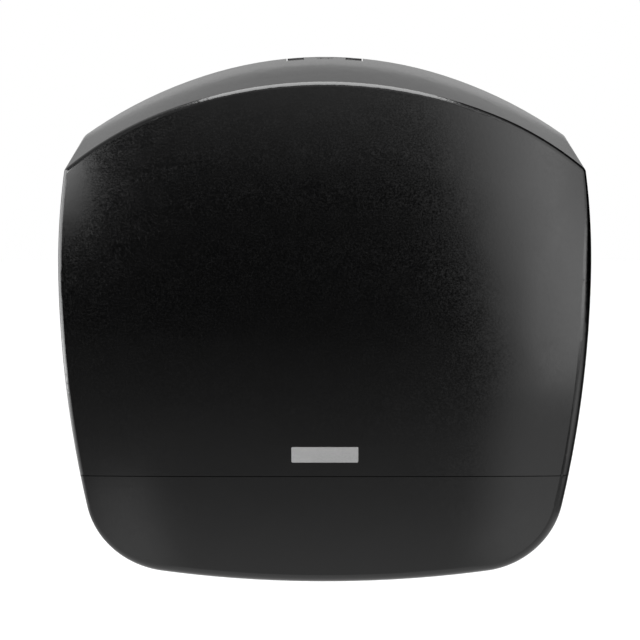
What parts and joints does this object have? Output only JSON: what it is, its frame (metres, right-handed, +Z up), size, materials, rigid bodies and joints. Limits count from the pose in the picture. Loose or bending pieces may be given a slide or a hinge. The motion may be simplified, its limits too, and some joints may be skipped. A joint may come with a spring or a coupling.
{
  "type": "jumbo toilet roll dispenser",
  "caption": "Wall-mounted washroom dispenser for a large roll of toilet paper, with a hinged locking cover, a roll hub, a holder for a used roll and tear bars.",
  "frame": {"origin": "on the axis of the main roll hub, in the plane of the wall, which is also the middle of the four wall screw slots", "axes": "+X to the right as seen from the front, +Y into the wall, +Z up; the front faces -Y"},
  "size_m": [0.3396, 0.133, 0.3297],
  "materials": {
    "cover_plastic": "black moulded plastic, semi-gloss, fine spark-eroded grain",
    "inner_plastic": "black moulded plastic, satin",
    "hub_plastic": "dark grey moulded plastic, satin, slippery",
    "badge_grey": "light grey satin face, blank",
    "insert_plastic": "dark plastic, satin",
    "tear_steel": "stainless strip, fine rolled grain",
    "spring_steel": "spring steel, lightly oiled",
    "pin_steel": "drawn steel wire, bright",
    "zinc_screws": "zinc plated",
    "felt": "dense grey wool felt"
  },
  "bodies": {
    "back_plate": {"back_plate": "inner_plastic", "paper_guide": "inner_plastic", "main_spindle": "inner_plastic", "spindle_screws": "zinc_screws", "brake_spring": "spring_steel", "hub_cap": "inner_plastic", "hub_cap_screw": "zinc_screws", "stub_spindle": "inner_plastic", "stub_spindle_screws": "zinc_screws", "stub_cap": "inner_plastic", "stub_cap_screw": "zinc_screws", "latch_housing": "inner_plastic", "housing_screws": "zinc_screws", "latch_tongue": "spring_steel", "tongue_screws": "zinc_screws", "button_springs": "spring_steel", "hinge_pins": "pin_steel", "guide_screws": "zinc_screws"},
    "cover": {"front_cover": "cover_plastic", "chin_panel": "cover_plastic", "name_plate": "badge_grey", "strike_plate": "spring_steel", "tear_bar_right": "tear_steel", "tear_bar_left": "tear_steel", "cover_screws": "zinc_screws", "tear_bar_screws": "zinc_screws", "strike_screws": "zinc_screws"},
    "release_button": {"release_button": "cover_plastic", "key_insert": "insert_plastic"},
    "main_hub": {"main_hub": "hub_plastic", "brake_ring": "felt"},
    "stub_hub": {"stub_hub": "hub_plastic"}
  },
  "joints": [
    {"name": "cover_hinge", "type": "hinge", "parent": "back_plate", "child": "cover", "pos_m": [0, -0.022, -0.1664], "axis": [1, 0, 0], "range_deg": [0, 90], "deforming": ["latch_tongue"]},
    {"name": "button_press", "type": "slide", "parent": "back_plate", "child": "release_button", "axis": [0, 0, -1], "range_m": [0, 0.0025], "stiffness_N_per_m": 500, "springref_m": -0.003, "deforming": ["button_springs", "latch_tongue"]},
    {"name": "main_hub_spin", "type": "hinge", "parent": "back_plate", "child": "main_hub", "pos_m": [0, -0.06, 0], "axis": [0, 1, 0], "continuous": true},
    {"name": "stub_hub_spin", "type": "hinge", "parent": "back_plate", "child": "stub_hub", "pos_m": [-0.112, -0.045, -0.121], "axis": [0, 1, 0], "continuous": true}
  ]
}
